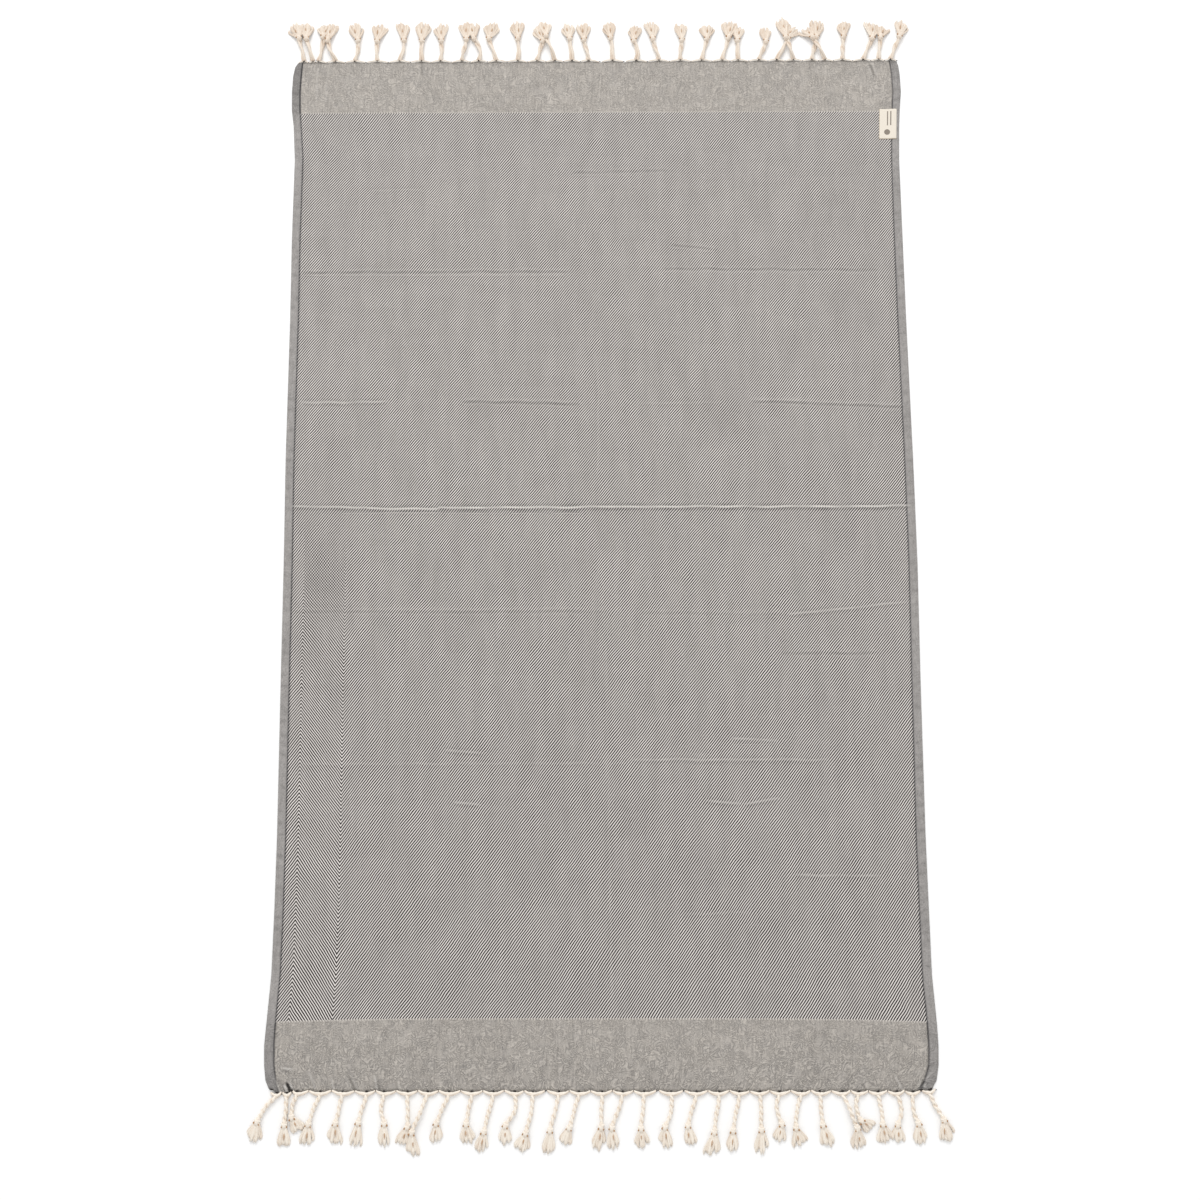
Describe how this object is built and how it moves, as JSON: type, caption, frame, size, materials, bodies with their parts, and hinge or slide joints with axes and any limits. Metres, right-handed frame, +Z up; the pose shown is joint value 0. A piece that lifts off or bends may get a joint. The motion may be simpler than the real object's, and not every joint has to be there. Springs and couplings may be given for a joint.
{
  "type": "hammam towel",
  "caption": "Flat cotton hammam towel with a twill field, plain end bands, hemmed long sides, knotted tassels at both ends and a small plain label.",
  "frame": {"origin": "bottom centre of the whole towel, on the surface it lies on", "axes": "+Z up from the surface, +Y along the cloth to the end that has the label, +X across the cloth to the side that has the label"},
  "size_m": [1.0524, 1.8522, 0.0074],
  "materials": {
    "weave": "matte grey-beige cotton, steep twill with plain-weave end bands and plain hems",
    "yarn": "matte cream cotton yarn, twisted and knotted",
    "label_weave": "fine cream woven tape with two plain bars and a disc"
  },
  "bodies": {
    "root": {"cloth": "weave", "fringe_far": "yarn", "fringe_near": "yarn", "label": "label_weave"}
  },
  "joints": []
}
